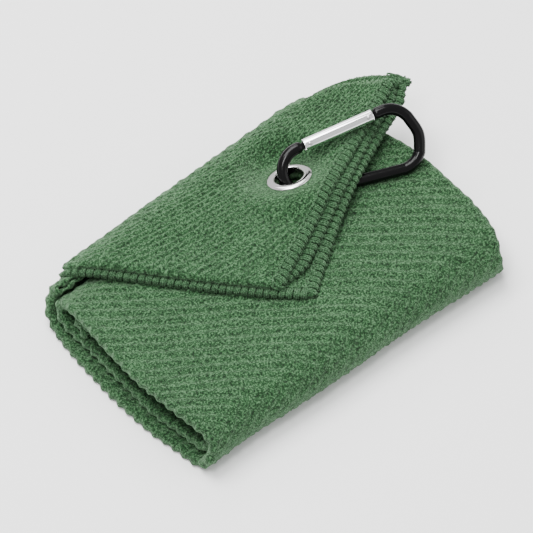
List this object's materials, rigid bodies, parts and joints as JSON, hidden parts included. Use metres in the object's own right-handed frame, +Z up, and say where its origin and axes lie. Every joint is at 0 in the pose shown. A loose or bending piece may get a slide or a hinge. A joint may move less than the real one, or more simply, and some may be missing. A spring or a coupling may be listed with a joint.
{
  "type": "golf towel",
  "caption": "Waffle-weave golf towel folded into a packet, with a flap, a metal grommet and a sprung carabiner clip.",
  "frame": {"origin": "centre of the folded packet's resting face", "axes": "+X along the folds, +Y towards the far fold that the flap comes over, +Z up"},
  "size_m": [0.219, 0.129, 0.054],
  "materials": {
    "cloth": "matte green waffle-weave microfibre",
    "thread": "matte green overlock thread",
    "nickel": "bright nickel plate",
    "black_rod": "gloss black anodised",
    "polished_tube": "polished aluminium",
    "steel": "plain steel"
  },
  "bodies": {
    "packet": {"towel_packet": "cloth"},
    "flap": {"towel_flap": "cloth", "overlock_end_top": "thread", "overlock_end_middle": "thread", "overlock_end_bottom": "thread", "overlock_side_flap": "thread", "grommet_eyelet": "nickel", "grommet_washer": "nickel"},
    "carabiner": {"carabiner_body": "black_rod"},
    "gate": {"carabiner_gate": "polished_tube", "gate_hinge_pin": "steel", "gate_latch_pin": "steel", "gate_plunger": "steel", "gate_spring": "steel"}
  },
  "joints": [
    {"name": "flap_fold", "type": "hinge", "parent": "packet", "child": "flap", "pos_m": [0, 0.0645, 0.0205], "axis": [-1, 0, 0], "range_deg": [0, 100]},
    {"name": "carabiner_swivel", "type": "hinge", "parent": "flap", "child": "carabiner", "pos_m": [0.0337, 0.0275, 0.0395], "axis": [0, 0, 1], "range_deg": [-15, 11]},
    {"name": "gate_swing", "type": "hinge", "parent": "carabiner", "child": "gate", "pos_m": [0.05135, 0.0317, 0.0469], "axis": [0.26, 0.588, -0.766], "range_deg": [0, 10], "stiffness_Nm_per_rad": 0.03, "springref_deg": -17.19}
  ]
}
